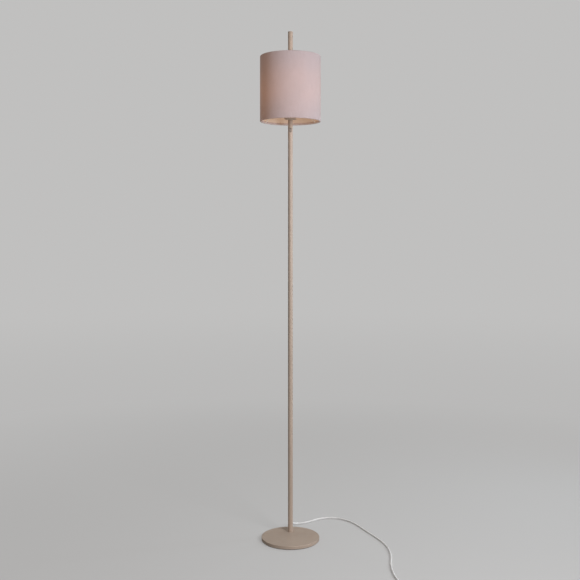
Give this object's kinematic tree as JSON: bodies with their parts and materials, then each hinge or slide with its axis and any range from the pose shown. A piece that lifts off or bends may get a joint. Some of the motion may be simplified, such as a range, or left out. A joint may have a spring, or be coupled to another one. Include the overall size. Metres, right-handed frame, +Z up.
{
  "type": "column floor lamp",
  "caption": "Slim column floor lamp with a round base, an offset pole that runs on past a cylindrical fabric shade, a rocker switch and a mains cord.",
  "frame": {"origin": "on the floor, under the middle of the round base and of the shade", "axes": "+Z up, -Y is the front that the picture shows, with the pole behind the middle at +Y; +X is the viewer's right"},
  "size_m": [0.4176, 0.6984, 1.684],
  "materials": {
    "putty_paint": "matte",
    "plated_steel": "satin",
    "base_pad": "matte",
    "white_cord": "satin",
    "white_moulding": "satin",
    "switch_plastic": "satin",
    "brown_core": "satin",
    "blue_core": "satin",
    "brass": "satin",
    "holder_plastic": "satin",
    "shade_fabric": "woven",
    "shade_lining": "matte",
    "frame_wire": "satin",
    "cap_metal": "satin",
    "black_glass": "gloss",
    "bulb_neck": "satin",
    "bulb_opal": "satin",
    "light_board": "satin",
    "tie_strap": "matte"
  },
  "bodies": {
    "stand": {"base_plate": "putty_paint", "base_pad": "base_pad", "base_screw": "plated_steel", "base_washer": "plated_steel", "foot_plug": "plated_steel", "pole_lower": "putty_paint", "pole_middle": "putty_paint", "pole_upper": "putty_paint", "lower_joiner": "plated_steel", "upper_joiner": "plated_steel", "pole_cap": "putty_paint", "cord_strain_relief": "white_moulding", "inner_cable": "white_cord", "neutral_wire": "blue_core", "live_wire": "brown_core", "switched_wire": "brown_core", "switch_housing": "switch_plastic", "switch_terminals": "brass", "holder_arm": "putty_paint", "holder_cup": "putty_paint", "lampholder_body": "holder_plastic", "lampholder_shell": "plated_steel", "centre_contact": "brass", "holder_terminals": "brass", "holder_screws": "plated_steel", "shade_ring_nut": "holder_plastic", "mains_cord": "white_cord", "cord_coil": "white_cord", "cord_tail": "white_cord", "plug_body": "white_moulding", "plug_pins": "plated_steel", "cord_tie": "tie_strap"},
    "switch_rocker": {"switch_rocker": "switch_plastic"},
    "shade": {"shade_cover": "shade_fabric", "shade_liner": "shade_lining", "shade_top_ring": "frame_wire", "shade_fitter": "frame_wire"},
    "bulb": {"bulb_contact": "brass", "bulb_insulator": "black_glass", "bulb_cap": "cap_metal", "bulb_neck": "bulb_neck", "bulb_light_board": "light_board", "bulb_globe": "bulb_opal"}
  },
  "joints": [
    {"name": "rocker_tip", "type": "hinge", "parent": "stand", "child": "switch_rocker", "pos_m": [0, 0.0396, 1.354], "axis": [1, 0, 0], "range_deg": [-22, 0]},
    {"name": "shade_turn", "type": "hinge", "parent": "stand", "child": "shade", "pos_m": [0, 0, 1.418], "axis": [0, 0, 1], "range_deg": [-42, 42]},
    {"name": "bulb_lift", "type": "slide", "parent": "stand", "child": "bulb", "axis": [0, 0, 1], "range_m": [0, 0.2]}
  ]
}
